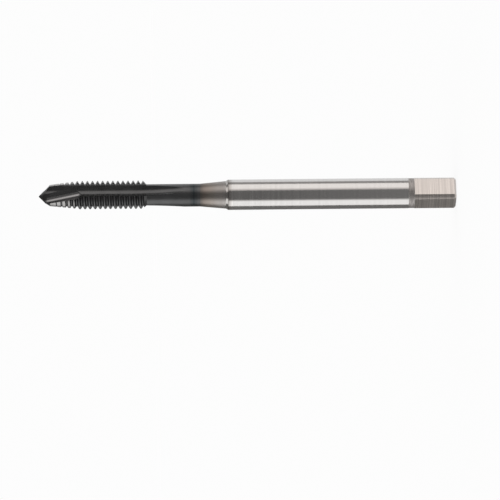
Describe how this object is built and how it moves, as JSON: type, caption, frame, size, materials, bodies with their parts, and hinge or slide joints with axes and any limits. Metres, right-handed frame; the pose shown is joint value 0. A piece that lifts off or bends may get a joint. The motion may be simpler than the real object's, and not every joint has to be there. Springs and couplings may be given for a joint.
{
  "type": "thread tap",
  "caption": "Spiral-point machine tap with straight flutes, a slim fluted neck, a plain shank and a square drive end.",
  "frame": {"origin": "centre of the square's end face, on the tap's axis, where the tap stands", "axes": "+Z along the axis towards the cutting point; the square's flats face X and Y, and one flute faces -Y"},
  "size_m": [0.006, 0.006, 0.0822],
  "materials": {
    "tool_steel": "ground steel shank and square, black oxide on the neck and threaded head, bright ground lead"
  },
  "bodies": {
    "root": {"thread_tap": "tool_steel"}
  },
  "joints": []
}
